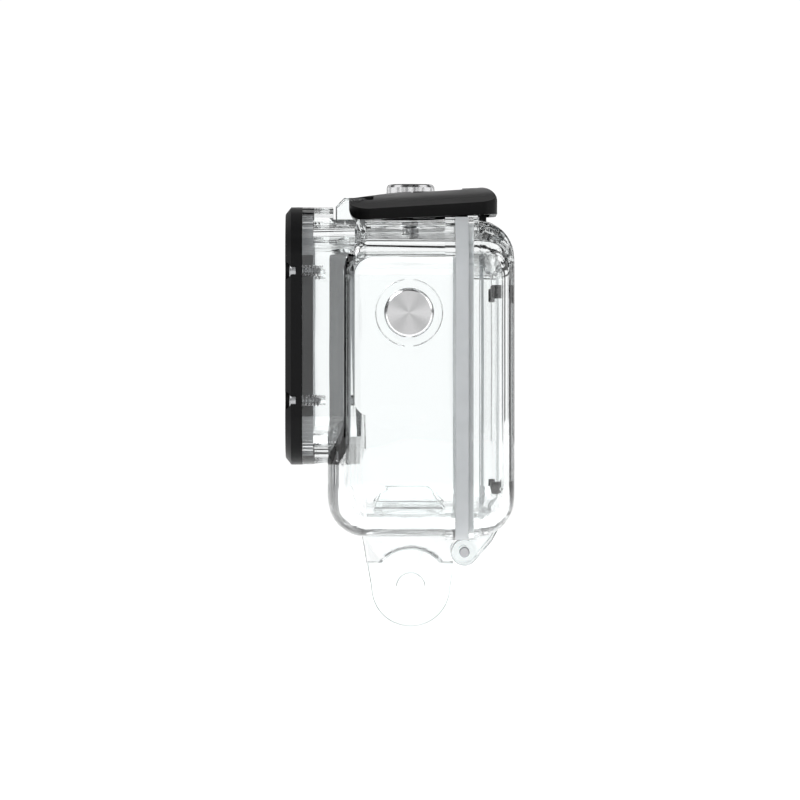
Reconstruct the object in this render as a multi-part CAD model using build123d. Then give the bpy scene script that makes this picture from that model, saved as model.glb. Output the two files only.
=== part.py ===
"""Clear waterproof dive case for a small action camera, standing on its two mounting prongs.

X runs across the case, Y from the lens window (-Y) to the back door (+Y), Z up.
The origin is the centre of the thumbscrew bore in the prongs. All sizes are millimetres.
"""

import os
from math import atan2, cos, sin

from build123d import *

# ---------------------------------------------------------------- driving dimensions
SHELL_WIDTH = 79.0  # across X, over the side walls
SHELL_HEIGHT = 58.9  # over the top and bottom walls
SHELL_BOTTOM = 10.0  # height of the underside over the thumbscrew bore
SHELL_FRONT = -15.5  # plane of the front wall
GASKET_PLANE = 8.25  # where the shell ends and the gasket begins
GASKET_THICKNESS = 2.45
DOOR_DEPTH = 8.55

SIDE_WALL = 2.8
TOP_WALL = 4.7
BOTTOM_WALL = 3.0
FRONT_WALL = 3.1
DOOR_WALL = 2.25
CORNER_RADIUS = 9.5  # corners of the case seen from the front
SOFT_EDGE = 0.3  # small rounding that the mould leaves on prongs, arms, ears and guard rings
EDGE_RADIUS = 7.0  # rounding round the front wall and round the back of the door
INNER_EDGE_RADIUS = 4.2

FLANGE_PROUD = 0.6  # the two flanges that clamp the gasket
FLANGE_THICKNESS = 1.9
PANEL_RECESS = 0.25  # shallow panel moulded inside each side wall
PANEL_BOTTOM = 22.3  # over the underside of the shell
PANEL_TOP_MARGIN = 2.6
PANEL_FRONT_MARGIN = 2.2
PANEL_CORNER = 3.0

# lens housing, window and its screwed frame
LENS_SIZE = 47.9
LENS_CORNER = 9.0
LENS_EDGE_MARGIN = 1.2  # from the side of the shell to the side of the lens housing
LENS_DROP = 21.55  # centre of the window under the top of the shell
LENS_PROUD = 4.65  # lens housing in front of the front wall
LENS_BACK_CUT = 1.1  # how far the housing's top runs back past the front wall
TUNNEL_INSET = 5.2  # from the outside of the lens housing
TUNNEL_BACK = 2.0  # how far the tunnel runs into the cavity
SEAL_INSET = 3.9
SEAL_THICKNESS = 2.0
GLASS_THICKNESS = 2.15
GLASS_CLEARANCE = 0.15
FRAME_LIP = 1.0
FRAME_BEVEL_OUT = 1.3
FRAME_BEVEL_BACK = 1.05
FRAME_OPENING_INSET = 5.9
FRAME_OPENING_BEVEL = 0.6

SCREW_OFFSET = 12.0  # along each side of the frame, from its middle
SCREW_EDGE = 1.45  # screw axis from the frame's outer side
SCREW_RADIUS = 0.9
SCREW_HOLE_CLEARANCE = 0.08
SCREW_HEAD_RADIUS = 1.5
SCREW_HEAD_HEIGHT = 1.15
SCREW_HEAD_CLEARANCE = 0.13
SCREW_SINK = 1.95  # depth of the counterbores
SCREW_BITE = 3.4  # thread held in the lens housing
SOCKET_RADIUS = 0.75
SOCKET_DEPTH = 0.7

# back door hinge
HINGE_Y = 10.05
HINGE_DROP = 3.1  # hinge axis under the underside of the shell
KNUCKLE_RADIUS = 2.55
KNUCKLE_GAP = 0.3
HINGE_PIN_RADIUS = 0.95
HINGE_RUNNING = 0.06
HINGE_HELD = 0.02
HINGE_INNER = 11.7  # half the width of the shell's knuckle
HINGE_SIDE_GAP = 0.3
DOOR_ARM_WIDTH = 8.0
PIN_SINK = 0.8
PIN_SINK_RADIUS = 1.45

# thumbscrew prongs
PRONG_RADIUS = 7.5
PRONG_BORE_RADIUS = 2.6
PRONG_THICKNESS = 3.0
PRONG_GAP = 3.1
PRONG_TAPER = 1.9  # how much wider the prongs are at the shell, on each side
MATE_CLEARANCE_RADIUS = 7.7  # room for the round end of the mating prongs
ROOT_ROUND = 0.6
BASE_HALF_WIDTH = 9.0
BASE_BOTTOM = 4.6
TETHER_SLOT = ((-7.0, -5.4), (6.6, 8.5))  # for a wrist cord: from, to, along Y and along Z

# latch
LATCH_X = 6.0
LATCH_WIDTH = 30.0
LATCH_PIVOT_Y = -9.4
LATCH_PIVOT_RISE = 2.5  # over the top of the shell
LATCH_NOSE = 2.2  # radius of the round nose of the lever, about the pivot
LATCH_LENGTH = 27.8
LATCH_FRONT_BOTTOM = 0.15  # underside of the lever over the top of the shell
LATCH_BACK_BOTTOM = 1.4
LATCH_FRONT_TOP = 4.35
LATCH_BACK_TOP = 6.55
LATCH_FRONT_BAND = 2.1  # top of the upright sides over the top of the shell
LATCH_BACK_BAND = 3.8
LATCH_CROWN = 3.1
LATCH_WALL = 1.3
LATCH_FRONT_CORNER = 4.4
LATCH_BACK_CORNER = 3.0
TONGUE_HALF_WIDTH = 6.7  # of the part of the lever between the two ears
LATCH_SIDE_GAP = 0.3
EAR_THICKNESS = 2.6
EAR_FRONT = 4.7  # in front of the pivot
EAR_TOP = 2.0  # over the pivot
EAR_SLOPE = 1.6
EAR_GAP = 0.4
LATCH_PIN_RADIUS = 0.8
CATCH_HALF_WIDTH = 9.0  # the ridge that the claw holds
CATCH_RIDGE = 1.9
CATCH_TOP = 1.15  # ridge over the shell's top
CATCH_GROOVE = 2.2
CLAW_THICKNESS = 1.3
CLAW_GAP = 0.3
CLAW_REACH = 1.6  # how far the claw hangs below the top of the ridge

# sliding lock in the lever
LOCK_BACK = 12.8  # middle of the lock behind the latch pivot
LOCK_LENGTH = 6.0
LOCK_WIDTH = 9.0
LOCK_TRAVEL = 3.0
LOCK_CLEARANCE = 0.3
LOCK_STEM = 2.4
LOCK_PAD = 1.1
LOCK_TOP = 5.85  # over the top of the shell
LOCK_FLOOR = 1.0
LOCK_FOOT_REACH = 1.8
LOCK_FOOT_THICKNESS = 0.8
LOCK_FOOT_WIDTH = 2.4
LOCK_FOOT_RISE = 0.9
KEEPER_HALF_WIDTH = 3.5
KEEPER_WALL = 1.4
KEEPER_LIP = 1.0
KEEPER_COVER = 1.4

# press buttons
TOP_BUTTON_X = -22.0
TOP_BUTTON_Y = 0.0
TOP_COLLAR_HEIGHT = 4.6
TOP_CAP_TOP = 8.0
TOP_RECESS = 0.6  # floor of the well under the outside of the wall
TOP_SPRING_TURNS = 5.0
SIDE_BUTTON_Y = -0.35
SIDE_BUTTON_DROP = 17.35  # under the top of the shell
SIDE_COLLAR_HEIGHT = 1.2
SIDE_CAP_TOP = 2.3
SIDE_RECESS = 1.6
SIDE_SPRING_TURNS = 2.75
SIDE_INNER_BOSS = 1.2
BUTTON_TRAVEL = 1.4
CAP_RADIUS = 4.6
CAP_BEVEL = 0.5
CAP_WALL = 0.8
CAP_CLEARANCE = 0.25
COLLAR_RADIUS = 6.3
INNER_BOSS_RADIUS = 5.4
DRAIN_WIDTH = 1.6
HUB_RADIUS = 2.2
HUB_DEPTH = 0.9
STEM_RADIUS = 1.5
STEM_RUNNING = 0.05
STEM_TAIL = 0.5
GLAND_RADIUS = 2.4
GLAND_DEPTH = 1.0
O_RING_SECTION = 0.42
CLIP_RADIUS = 2.7
CLIP_THICKNESS = 0.4
CLIP_GAP = 0.05
CLIP_GROOVE_RADIUS = 1.1
TIP_RADIUS = 2.0
TIP_THICKNESS = 0.6
SPRING_RADIUS = 2.75
SPRING_WIRE = 0.2

# pads on the door and rests on the floor that hold the camera
PAD_SIZE_X = 7.0
PAD_SIZE_Z = 2.45
PAD_THICKNESS = 2.3
PAD_X = 27.0
PAD_TOP_DROP = 13.3  # under the top of the shell
PAD_BOTTOM_RISE = 9.0  # over its underside
REST_X = 12.5
REST_WIDTH = 7.0
REST_HEIGHT = 6.0
REST_FRONT = 5.1  # behind the inside of the front wall
REST_FRONT_SLOPE = 2.0
REST_LENGTH = 8.6  # of the level top
REST_BACK_SLOPE = 3.4
REST_ROUND = 1.2

GASKET_WIDTH = 3.3
TONGUE_INSET = 1.2  # of the gasket's tongue, from the outside of the gasket
TONGUE_WIDTH = 1.2
TONGUE_DEPTH = 0.9
TONGUE_CLEARANCE = 0.1

# ---------------------------------------------------------------- places worked out from them
SHELL_TOP = SHELL_BOTTOM + SHELL_HEIGHT
SHELL_SIDE = SHELL_WIDTH / 2
SHELL_MIDDLE = SHELL_BOTTOM + SHELL_HEIGHT / 2
CAVITY_SIDE = SHELL_SIDE - SIDE_WALL
CAVITY_TOP = SHELL_TOP - TOP_WALL
CAVITY_BOTTOM = SHELL_BOTTOM + BOTTOM_WALL
CAVITY_FRONT = SHELL_FRONT + FRONT_WALL
CAVITY_MIDDLE = (CAVITY_TOP + CAVITY_BOTTOM) / 2
DOOR_FRONT = GASKET_PLANE + GASKET_THICKNESS
DOOR_BACK = DOOR_FRONT + DOOR_DEPTH
DOOR_INNER_BACK = DOOR_BACK - DOOR_WALL
LENS_X = SHELL_SIDE - LENS_EDGE_MARGIN - LENS_SIZE / 2
LENS_Z = SHELL_TOP - LENS_DROP
LENS_FRONT = SHELL_FRONT - LENS_PROUD
FRAME_FRONT = LENS_FRONT - FRAME_LIP - GLASS_THICKNESS
SCREW_LINE = LENS_SIZE / 2 - SCREW_EDGE
HINGE_Z = SHELL_BOTTOM - HINGE_DROP
ARM_INNER = HINGE_INNER + HINGE_SIDE_GAP
ARM_OUTER = ARM_INNER + DOOR_ARM_WIDTH
PRONG_INNER = PRONG_GAP / 2
PRONG_OUTER = PRONG_INNER + PRONG_THICKNESS
LATCH_PIVOT_Z = SHELL_TOP + LATCH_PIVOT_RISE
LATCH_FRONT = LATCH_PIVOT_Y - LATCH_NOSE
LATCH_BACK = LATCH_FRONT + LATCH_LENGTH
EAR_INNER = TONGUE_HALF_WIDTH + LATCH_SIDE_GAP
EAR_OUTER = EAR_INNER + EAR_THICKNESS
CATCH_Z = SHELL_TOP + CATCH_TOP
RIDGE_BACK = DOOR_FRONT + CATCH_RIDGE
CLAW_FRONT = RIDGE_BACK + CLAW_GAP
LOCK_Y = LATCH_PIVOT_Y + LOCK_BACK
LOCK_TOP_Z = SHELL_TOP + LOCK_TOP
LOCK_FOOT_Z = SHELL_TOP + LOCK_FOOT_RISE
SIDE_BUTTON_Z = SHELL_TOP - SIDE_BUTTON_DROP


# ---------------------------------------------------------------- helpers
def slab(width, height, corner, y_start, y_end, x=0.0, z=SHELL_MIDDLE):
    """A rounded rectangle seen from the front, from y_start back to y_end."""
    plane = Plane(origin=(x, y_end, z), x_dir=(1, 0, 0), z_dir=(0, -1, 0))
    return extrude(plane * RectangleRounded(width, height, corner), amount=y_end - y_start)


def case_slab(inset, y_start, y_end):
    """A slab with the outline of the case, drawn in by inset."""
    return slab(SHELL_WIDTH - 2 * inset, SHELL_HEIGHT - 2 * inset, CORNER_RADIUS - inset, y_start, y_end)


def cavity_slab(y_start, y_end):
    """A slab with the outline of the camera cavity."""
    height = CAVITY_TOP - CAVITY_BOTTOM
    return slab(2 * CAVITY_SIDE, height, CORNER_RADIUS - SIDE_WALL, y_start, y_end, 0, CAVITY_MIDDLE)


def lens_slab(inset, y_start, y_end):
    """A slab with the outline of the lens housing, drawn in by inset."""
    size = LENS_SIZE - 2 * inset
    return slab(size, size, max(LENS_CORNER - inset, 3.6), y_start, y_end, LENS_X, LENS_Z)


def block(x0, x1, y0, y1, z0, z1):
    """A plain box between two corners."""
    return Pos((x0 + x1) / 2, (y0 + y1) / 2, (z0 + z1) / 2) * Box(x1 - x0, y1 - y0, z1 - z0)


def across(face_edges, x0, x1):
    """A closed outline drawn as (y, z), extruded from x0 to x1."""
    plane = Plane(origin=(x0, 0, 0), x_dir=(0, 1, 0), z_dir=(1, 0, 0))
    return extrude(plane * make_face(face_edges), amount=x1 - x0)


def side_profile(outline, x0, x1):
    """A closed polygon of (y, z) points, extruded from x0 to x1."""
    return across(Polyline(*outline, close=True), x0, x1)


def rod_x(radius, x0, x1, y, z):
    """A cylinder along X."""
    plane = Plane(origin=(x0, y, z), x_dir=(0, 1, 0), z_dir=(1, 0, 0))
    return extrude(plane * Circle(radius), amount=x1 - x0)


def rod_y(radius, y0, y1, x, z):
    """A cylinder along Y."""
    plane = Plane(origin=(x, y1, z), x_dir=(1, 0, 0), z_dir=(0, -1, 0))
    return extrude(plane * Circle(radius), amount=y1 - y0)


def rod_z(radius, z0, z1):
    """A cylinder along Z, on the axis."""
    return extrude(Plane(origin=(0, 0, z0)) * Circle(radius), amount=z1 - z0)


def softened(solid, axis=Axis.X):
    """The solid with a small rounding round its two flat ends."""
    return fillet(solid.faces().filter_by(axis).edges(), SOFT_EDGE)


def front_loop(solid):
    """The edges round the foremost face."""
    return solid.faces().sort_by(Axis.Y)[0].edges()


def back_loop(solid):
    """The edges round the rearmost face."""
    return solid.faces().sort_by(Axis.Y)[-1].edges()


def screw_places():
    """The eight screw axes round the window, as (x, z)."""
    signs = [(a, b) for a in (-1, 1) for b in (-1, 1)]
    beside = [(LENS_X + a * SCREW_LINE, LENS_Z + b * SCREW_OFFSET) for a, b in signs]
    above = [(LENS_X + a * SCREW_OFFSET, LENS_Z + b * SCREW_LINE) for a, b in signs]
    return beside + above


def on_top(shape):
    """From a button's own frame, where it is pressed along -Z, to the top of the case."""
    return Pos(TOP_BUTTON_X, TOP_BUTTON_Y, SHELL_TOP) * shape


def on_side(shape):
    """From a button's own frame to the side of the case, where it is pressed along -X."""
    return Pos(SHELL_SIDE, SIDE_BUTTON_Y, SIDE_BUTTON_Z) * Rot(0, 90, 0) * shape


# ---------------------------------------------------------------- buttons, in their own frame
def button_boss(height, wall, inner_boss):
    """The guard ring round a button, and the boss that carries its stem inside the wall."""
    ring = rod_z(COLLAR_RADIUS, -0.5, height)
    ring = fillet(ring.edges().group_by(Axis.Z)[-1], SOFT_EDGE)
    ring -= block(-COLLAR_RADIUS - 1, COLLAR_RADIUS + 1, -DRAIN_WIDTH / 2, DRAIN_WIDTH / 2, 0, height + 1)
    if inner_boss > 0:
        ring += rod_z(INNER_BOSS_RADIUS, -wall - inner_boss, -0.5)
    return ring


def button_well(recess, height, wall, inner_boss):
    """What is cut away for the cap, the O-ring and the stem."""
    well = rod_z(CAP_RADIUS + CAP_CLEARANCE, -recess, height + 1)
    well += rod_z(GLAND_RADIUS, -recess - GLAND_DEPTH, 0)
    well += rod_z(STEM_RADIUS + STEM_RUNNING, -wall - inner_boss - 1, 0)
    return well


def button_cap(recess, cap_top):
    """A turned metal cap with a skirt round the spring and a hub pressed on the stem."""
    skirt = -recess + BUTTON_TRAVEL + 0.2
    cap = rod_z(CAP_RADIUS, skirt, cap_top)
    cap = fillet(cap.edges().group_by(Axis.Z)[-1], CAP_BEVEL)
    cap -= rod_z(CAP_RADIUS - CAP_WALL, skirt - 1, cap_top - CAP_WALL)
    cap += rod_z(HUB_RADIUS, cap_top - CAP_WALL - HUB_DEPTH, cap_top - CAP_WALL)
    cap -= rod_z(STEM_RADIUS, skirt - 1, cap_top - CAP_WALL)
    return cap


def button_stem(cap_top, reach):
    """The rod from the cap into the cavity, necked for its retaining clip."""
    stem = rod_z(STEM_RADIUS, -reach - CLIP_GAP - CLIP_THICKNESS - STEM_TAIL, cap_top - CAP_WALL)
    neck = rod_z(STEM_RADIUS + 1, -reach - CLIP_GAP - CLIP_THICKNESS, -reach - CLIP_GAP)
    neck -= rod_z(CLIP_GROOVE_RADIUS, -reach - 2, -reach + 2)
    return stem - neck


def button_clip(reach):
    """An E-clip: an open ring that stops the stem from being pulled out."""
    clip = rod_z(CLIP_RADIUS, -reach - CLIP_GAP - CLIP_THICKNESS, -reach - CLIP_GAP)
    clip -= rod_z(CLIP_GROOVE_RADIUS, -reach - 2, -reach + 2)
    mouth = 0.85 * CLIP_GROOVE_RADIUS
    clip -= block(0, CLIP_RADIUS + 1, -mouth, mouth, -reach - 2, -reach + 2)
    for angle in (0, 120, 240):
        notch = Pos(CLIP_RADIUS * 0.62, 0, -reach) * Cylinder(0.42, 4)
        if angle:
            clip -= Rot(0, 0, angle) * notch
    return clip


def button_tip(reach):
    """The rubber pad on the stem's end that meets the camera's own button."""
    top = -reach - CLIP_GAP - CLIP_THICKNESS - STEM_TAIL
    tip = rod_z(TIP_RADIUS, top - TIP_THICKNESS, top)
    return fillet(tip.edges().group_by(Axis.Z)[0], 0.25)


def button_o_ring(recess):
    """The ring that seals the stem, lying in its gland."""
    middle = (GLAND_RADIUS + STEM_RADIUS) / 2 + 0.01
    return Pos(0, 0, -recess - GLAND_DEPTH / 2) * Torus(middle, O_RING_SECTION)


def button_spring(recess, cap_top, turns):
    """A compression spring from the floor of the well to the underside of the cap."""
    length = recess + cap_top - CAP_WALL
    rise = length - 2 * SPRING_WIRE
    path = Pos(0, 0, -recess + SPRING_WIRE) * Helix(rise / turns, rise, SPRING_RADIUS)
    wire = Plane(origin=path @ 0, z_dir=path % 0) * Circle(SPRING_WIRE)
    return sweep(wire, path=path, is_frenet=True)


# ---------------------------------------------------------------- shell
def latch_ear(x0, x1):
    """One of the two ears that carry the latch pin."""
    y, z = LATCH_PIVOT_Y, LATCH_PIVOT_Z
    foot = SHELL_TOP - 0.8
    front = y - EAR_FRONT
    top = z + EAR_TOP
    fin = Polyline((y, top), (front + EAR_SLOPE, top), (front, top - EAR_SLOPE), (front, foot))
    foot_line = Polyline((front, foot), (y + EAR_TOP, foot), (y + EAR_TOP, z))
    return softened(across([fin, foot_line, RadiusArc((y + EAR_TOP, z), (y, top), -EAR_TOP)], x0, x1))


def keeper():
    """The hook on top of the shell that the lock's foot slides under."""
    foot_front = LOCK_Y - LOCK_STEM / 2 - LOCK_FOOT_REACH
    back = foot_front - 0.7
    top = LOCK_FOOT_Z + LOCK_FOOT_THICKNESS + LOCK_CLEARANCE + KEEPER_LIP
    x0, x1 = LATCH_X - KEEPER_HALF_WIDTH, LATCH_X + KEEPER_HALF_WIDTH
    hook = block(x0, x1, back - KEEPER_WALL, back, SHELL_TOP - 0.5, top)
    hook += block(x0, x1, back - KEEPER_WALL, foot_front + KEEPER_COVER, top - KEEPER_LIP, top)
    return hook


def mounting_foot():
    """The two prongs with their bore, and the arched base that joins them to the shell."""
    up = SHELL_BOTTOM + 1.0
    side = PRONG_RADIUS + PRONG_TAPER
    slope = PRONG_TAPER / SHELL_BOTTOM

    def edge(z):
        return PRONG_RADIUS + slope * z

    foot = side_profile(
        [(-side, up), (-edge(BASE_BOTTOM), BASE_BOTTOM), (edge(BASE_BOTTOM), BASE_BOTTOM), (side, up)],
        -BASE_HALF_WIDTH,
        BASE_HALF_WIDTH,
    )
    foot -= rod_x(MATE_CLEARANCE_RADIUS, -BASE_HALF_WIDTH - 1, BASE_HALF_WIDTH + 1, 0, 0)
    foot = softened(foot)
    for x0, x1 in ((-PRONG_OUTER, -PRONG_INNER), (PRONG_INNER, PRONG_OUTER)):
        prong = rod_x(PRONG_RADIUS, x0, x1, 0, 0)
        prong += side_profile([(-side, up), (-PRONG_RADIUS, 0), (PRONG_RADIUS, 0), (side, up)], x0, x1)
        prong -= rod_x(PRONG_BORE_RADIUS, x0 - 1, x1 + 1, 0, 0)
        foot += softened(prong)
    roots = foot.edges().filter_by(GeomType.CIRCLE)
    roots = roots.filter_by(lambda e: abs(e.radius - MATE_CLEARANCE_RADIUS) < 0.01)
    roots = roots.filter_by(lambda e: abs(abs(e.center().X) - PRONG_OUTER) < 0.01)
    foot = fillet(roots, ROOT_ROUND)
    (y0, y1), (z0, z1) = TETHER_SLOT
    foot -= block(-BASE_HALF_WIDTH - 1, BASE_HALF_WIDTH + 1, y0, y1, z0, z1)
    return foot - block(-99, 99, GASKET_PLANE - 0.3, 99, 0, 99)


def shell_knuckle():
    """The wide knuckle under the back of the shell."""
    web = side_profile(
        [
            (HINGE_Y - 7.6, SHELL_BOTTOM + 0.5),
            (GASKET_PLANE - 0.3, SHELL_BOTTOM + 0.5),
            (GASKET_PLANE - 0.3, HINGE_Z + 1.4),
            (HINGE_Y, HINGE_Z),
            (HINGE_Y - 0.7 * KNUCKLE_RADIUS, HINGE_Z - 0.7 * KNUCKLE_RADIUS),
        ],
        -HINGE_INNER,
        HINGE_INNER,
    )
    return web + rod_x(KNUCKLE_RADIUS, -HINGE_INNER, HINGE_INNER, HINGE_Y, HINGE_Z)


def make_front_shell():
    body = fillet(front_loop(case_slab(0, SHELL_FRONT, GASKET_PLANE)), EDGE_RADIUS)
    body += case_slab(-FLANGE_PROUD, GASKET_PLANE - FLANGE_THICKNESS, GASKET_PLANE)
    snout = lens_slab(0, LENS_FRONT, SHELL_FRONT + EDGE_RADIUS)
    snout -= block(-99, 99, SHELL_FRONT + LENS_BACK_CUT, 99, SHELL_TOP, SHELL_TOP + 50)
    body += snout
    for x0, x1 in ((-EAR_OUTER, -EAR_INNER), (EAR_INNER, EAR_OUTER)):
        body += latch_ear(LATCH_X + x0, LATCH_X + x1)
    body += keeper()
    body += mounting_foot()
    body += shell_knuckle()

    cavity = cavity_slab(CAVITY_FRONT, GASKET_PLANE + 5)
    cavity = fillet(front_loop(cavity), INNER_EDGE_RADIUS)
    panel_bottom = SHELL_BOTTOM + PANEL_BOTTOM
    panel_top = CAVITY_TOP - PANEL_TOP_MARGIN
    y0, y1 = CAVITY_FRONT + PANEL_FRONT_MARGIN, GASKET_PLANE + 5
    panel = Pos(0, (y0 + y1) / 2, (panel_bottom + panel_top) / 2) * Box(
        2 * (CAVITY_SIDE + PANEL_RECESS), y1 - y0, panel_top - panel_bottom
    )
    panel = fillet(panel.edges().filter_by(Axis.X).group_by(Axis.Y)[0], PANEL_CORNER)
    cavity += panel
    cavity += lens_slab(TUNNEL_INSET, LENS_FRONT - 1, CAVITY_FRONT + TUNNEL_BACK)
    body -= cavity
    body -= lens_slab(SEAL_INSET, LENS_FRONT - 1, LENS_FRONT + SEAL_THICKNESS)

    for sign in (-1, 1):
        floor = CAVITY_BOTTOM
        y0 = CAVITY_FRONT + REST_FRONT
        y1 = y0 + REST_FRONT_SLOPE
        y2 = y1 + REST_LENGTH
        top = floor + REST_HEIGHT
        rest = side_profile(
            [(y0, floor - 0.5), (y1, top), (y2, top), (y2 + REST_BACK_SLOPE, floor - 0.5)],
            sign * REST_X - REST_WIDTH / 2,
            sign * REST_X + REST_WIDTH / 2,
        )
        rest = fillet(rest.edges().filter_by(Axis.X).group_by(Axis.Z)[-1], REST_ROUND)
        body += softened(rest)

    body += on_top(button_boss(TOP_COLLAR_HEIGHT, TOP_WALL, 0))
    body += on_side(button_boss(SIDE_COLLAR_HEIGHT, SIDE_WALL, SIDE_INNER_BOSS))
    body -= on_top(button_well(TOP_RECESS, TOP_COLLAR_HEIGHT, TOP_WALL, 0))
    body -= on_side(button_well(SIDE_RECESS, SIDE_COLLAR_HEIGHT, SIDE_WALL, SIDE_INNER_BOSS))

    hole = SCREW_RADIUS + SCREW_HOLE_CLEARANCE
    for x, z in screw_places():
        body -= rod_y(hole, LENS_FRONT - 1, LENS_FRONT + SCREW_BITE + 0.5, x, z)
    body -= rod_x(HINGE_PIN_RADIUS + HINGE_HELD, -HINGE_INNER - 1, HINGE_INNER + 1, HINGE_Y, HINGE_Z)
    for sign in (-1, 1):
        a, b = sorted((sign * HINGE_INNER, sign * (ARM_OUTER + KNUCKLE_GAP)))
        body -= rod_x(KNUCKLE_RADIUS + KNUCKLE_GAP, a, b, HINGE_Y, HINGE_Z)
    pin_bore = LATCH_PIN_RADIUS + HINGE_HELD
    x0, x1 = LATCH_X - EAR_OUTER - 1, LATCH_X + EAR_OUTER + 1
    body -= rod_x(pin_bore, x0, x1, LATCH_PIVOT_Y, LATCH_PIVOT_Z)
    return body


def make_hinge_pin():
    half = ARM_OUTER - PIN_SINK
    pin = rod_x(HINGE_PIN_RADIUS, -half, half, HINGE_Y, HINGE_Z)
    return chamfer(pin.edges().filter_by(GeomType.CIRCLE), 0.15)


def make_latch_pin():
    pin = rod_x(LATCH_PIN_RADIUS, LATCH_X - EAR_OUTER, LATCH_X + EAR_OUTER, LATCH_PIVOT_Y, LATCH_PIVOT_Z)
    return chamfer(pin.edges().filter_by(GeomType.CIRCLE), 0.15)


# ---------------------------------------------------------------- window
def make_lens_frame():
    frame = lens_slab(0, FRAME_FRONT, LENS_FRONT)
    face = frame.faces().sort_by(Axis.Y)[0]
    frame = chamfer(face.edges(), FRAME_BEVEL_OUT, FRAME_BEVEL_BACK, reference=face)
    opening = lens_slab(FRAME_OPENING_INSET, FRAME_FRONT - 1, LENS_FRONT + 1)
    frame -= opening
    lip = lens_slab(FRAME_OPENING_INSET - FRAME_OPENING_BEVEL, FRAME_FRONT, FRAME_FRONT + FRAME_OPENING_BEVEL)
    frame -= chamfer(back_loop(lip), FRAME_OPENING_BEVEL * 0.98)
    frame -= lens_slab(SEAL_INSET - GLASS_CLEARANCE, FRAME_FRONT + FRAME_LIP, LENS_FRONT + 1)
    sink = FRAME_FRONT + SCREW_SINK
    for x, z in screw_places():
        frame -= rod_y(SCREW_HEAD_RADIUS + SCREW_HEAD_CLEARANCE, FRAME_FRONT - 1, sink, x, z)
        frame -= rod_y(SCREW_RADIUS + SCREW_HOLE_CLEARANCE, FRAME_FRONT - 1, LENS_FRONT + 1, x, z)
    return frame


def make_window_glass():
    glass = lens_slab(SEAL_INSET, FRAME_FRONT + FRAME_LIP, LENS_FRONT)
    return chamfer(front_loop(glass), 0.3)


def make_window_seal():
    seal = lens_slab(SEAL_INSET, LENS_FRONT, LENS_FRONT + SEAL_THICKNESS)
    return seal - lens_slab(TUNNEL_INSET, LENS_FRONT - 1, LENS_FRONT + SEAL_THICKNESS + 1)


def make_frame_screw(x, z):
    seat = FRAME_FRONT + SCREW_SINK
    top = seat - SCREW_HEAD_HEIGHT
    screw = chamfer(front_loop(rod_y(SCREW_HEAD_RADIUS, top, seat, x, z)), 0.2)
    screw += rod_y(SCREW_RADIUS, seat, LENS_FRONT + SCREW_BITE, x, z)
    plane = Plane(origin=(x, top + SOCKET_DEPTH, z), x_dir=(1, 0, 0), z_dir=(0, -1, 0))
    return screw - extrude(plane * RegularPolygon(SOCKET_RADIUS, 6), amount=SOCKET_DEPTH + 1)


# ---------------------------------------------------------------- door
def door_arm(x0, x1):
    """One hinge arm, running down and forward from the door to its knuckle."""
    r = KNUCKLE_RADIUS
    outline = [
        (DOOR_FRONT + 0.15, SHELL_BOTTOM + 0.6),
        (DOOR_FRONT + 0.15, HINGE_Z + 0.55 * r),
        (HINGE_Y, HINGE_Z),
        (HINGE_Y + 0.82 * r, HINGE_Z - 0.57 * r),
        (DOOR_BACK - 0.58 * EDGE_RADIUS, SHELL_BOTTOM - 0.14 * EDGE_RADIUS),
        (DOOR_BACK - 0.36 * EDGE_RADIUS, SHELL_BOTTOM + 0.26 * EDGE_RADIUS),
        (DOOR_BACK - 0.55 * EDGE_RADIUS, SHELL_BOTTOM + 0.4 * EDGE_RADIUS),
    ]
    return softened(side_profile(outline, x0, x1) + rod_x(r, x0, x1, HINGE_Y, HINGE_Z))


def make_rear_door():
    body = fillet(back_loop(case_slab(0, DOOR_FRONT, DOOR_BACK)), EDGE_RADIUS)
    body += case_slab(-FLANGE_PROUD, DOOR_FRONT, DOOR_FRONT + FLANGE_THICKNESS)
    x0, x1 = LATCH_X - CATCH_HALF_WIDTH, LATCH_X + CATCH_HALF_WIDTH
    body -= block(x0, x1, RIDGE_BACK, RIDGE_BACK + CATCH_GROOVE, CATCH_Z - CLAW_REACH - 0.35, CATCH_Z + 9)
    body += block(x0, x1, DOOR_FRONT, RIDGE_BACK, SHELL_TOP - 1, CATCH_Z)
    for a, b in ((-ARM_OUTER, -ARM_INNER), (ARM_INNER, ARM_OUTER)):
        body += door_arm(a, b)

    cavity = cavity_slab(DOOR_FRONT - 5, DOOR_INNER_BACK)
    body -= fillet(back_loop(cavity), INNER_EDGE_RADIUS)
    groove = TONGUE_INSET - TONGUE_CLEARANCE - FLANGE_PROUD
    width = TONGUE_WIDTH + 2 * TONGUE_CLEARANCE
    depth = TONGUE_DEPTH + TONGUE_CLEARANCE
    ring = case_slab(groove, DOOR_FRONT - 1, DOOR_FRONT + depth)
    ring -= case_slab(groove + width, DOOR_FRONT - 2, DOOR_FRONT + depth + 1)
    body -= ring

    clear = KNUCKLE_RADIUS + KNUCKLE_GAP
    body -= rod_x(clear, -ARM_INNER, ARM_INNER, HINGE_Y, HINGE_Z)
    bore = HINGE_PIN_RADIUS + HINGE_RUNNING
    body -= rod_x(bore, -ARM_OUTER - 1, ARM_OUTER + 1, HINGE_Y, HINGE_Z)
    for sign in (-1, 1):
        a, b = sorted((sign * (ARM_OUTER - PIN_SINK), sign * (ARM_OUTER + 1)))
        body -= rod_x(PIN_SINK_RADIUS, a, b, HINGE_Y, HINGE_Z)
    return body


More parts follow.
